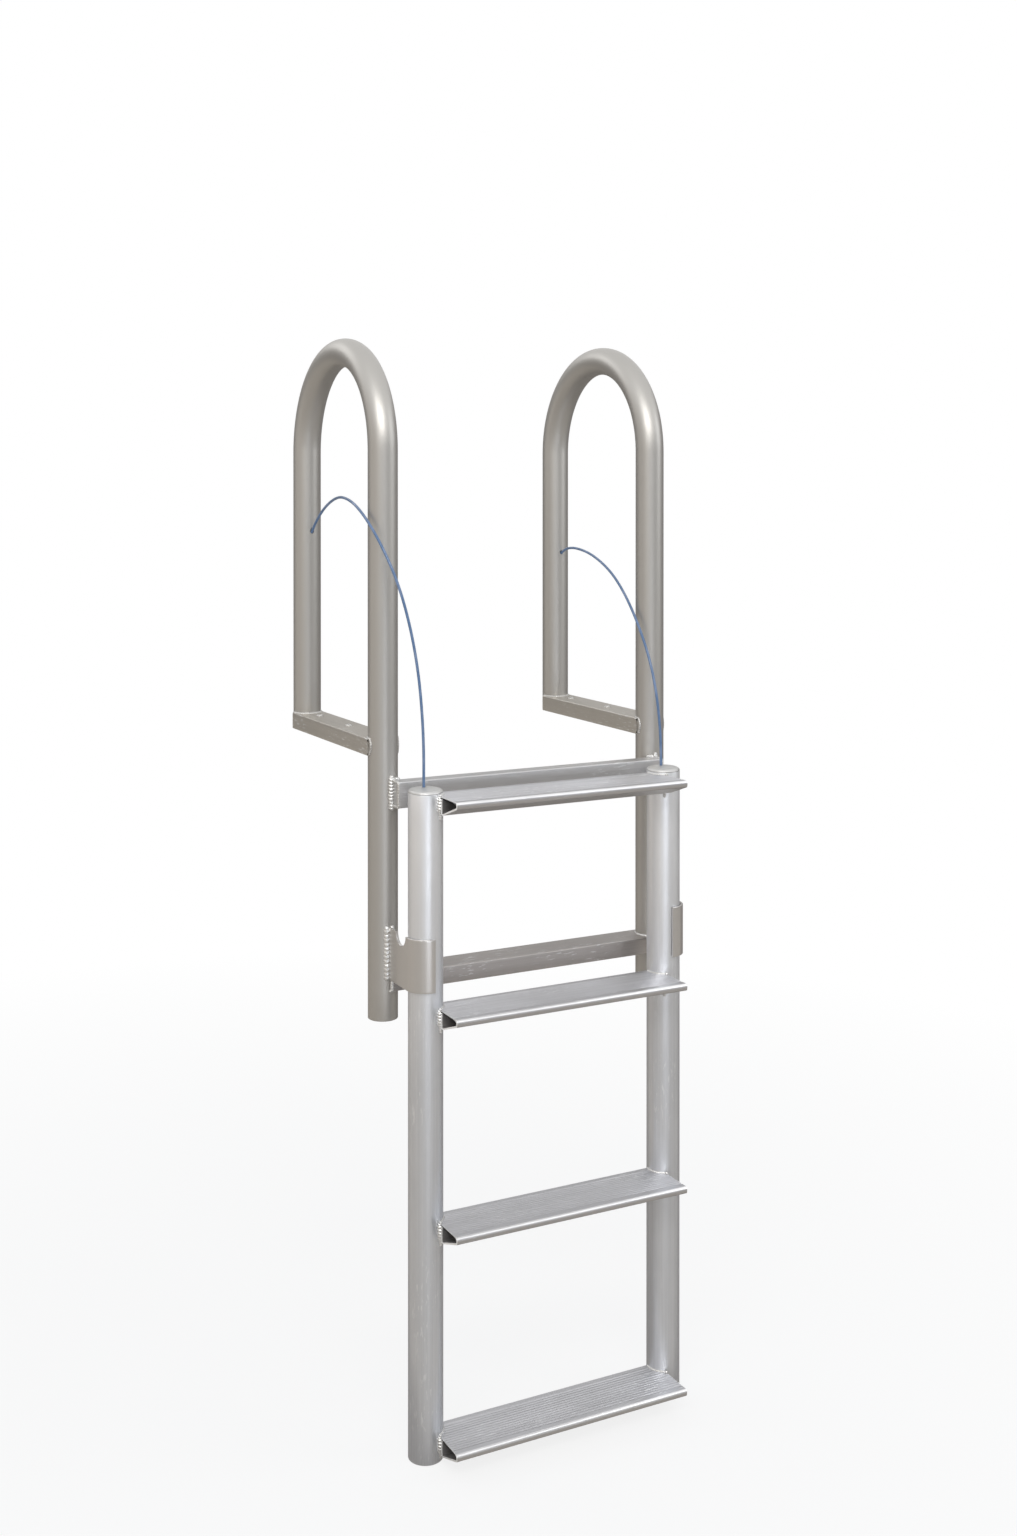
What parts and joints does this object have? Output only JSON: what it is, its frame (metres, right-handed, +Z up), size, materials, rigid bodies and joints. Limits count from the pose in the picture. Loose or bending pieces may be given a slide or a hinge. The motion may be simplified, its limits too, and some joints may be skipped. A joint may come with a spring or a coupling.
{
  "type": "dock ladder",
  "caption": "Lifting dock ladder: grooved treads on two tube rails slide behind hook brackets on a fixed frame with hoop handrails, foot bars and blue cords.",
  "frame": {"origin": "underside of the left foot bar, midway between its two bolt holes", "axes": "+X across to the right foot bar, -Y towards the climber and the treads, +Z up along the posts"},
  "size_m": [0.5221, 0.4944, 1.6222],
  "materials": {
    "handrail_tube": "mill finish, satin with fine scuffs",
    "rail_tube": "mill finish, satin",
    "rail_cap": "bright satin",
    "tread_extrusion": "mill finish with fine lengthwise grooves",
    "frame_bar": "mill finish, satin",
    "cord_stop": "crimped, plain",
    "blue_cord": "braided, slightly glossy"
  },
  "bodies": {
    "frame": {"left_handrail": "handrail_tube", "right_handrail": "handrail_tube", "left_foot_bar": "frame_bar", "right_foot_bar": "frame_bar", "upper_crossbar": "frame_bar", "lower_crossbar": "frame_bar", "left_hook_bracket": "frame_bar", "right_hook_bracket": "frame_bar", "left_cord_upper_stop": "cord_stop", "right_cord_upper_stop": "cord_stop", "left_cord": "blue_cord", "right_cord": "blue_cord"},
    "ladder": {"left_rail": "rail_tube", "right_rail": "rail_tube", "left_rail_cap": "rail_cap", "right_rail_cap": "rail_cap", "tread_1": "tread_extrusion", "tread_2": "tread_extrusion", "tread_3": "tread_extrusion", "tread_4": "tread_extrusion", "left_cord_lower_stop": "cord_stop", "right_cord_lower_stop": "cord_stop"}
  },
  "joints": [
    {"name": "ladder_lift", "type": "slide", "parent": "frame", "child": "ladder", "axis": [0, 0, 1], "range_m": [0, 0.61], "deforming": ["left_cord", "right_cord"]}
  ]
}
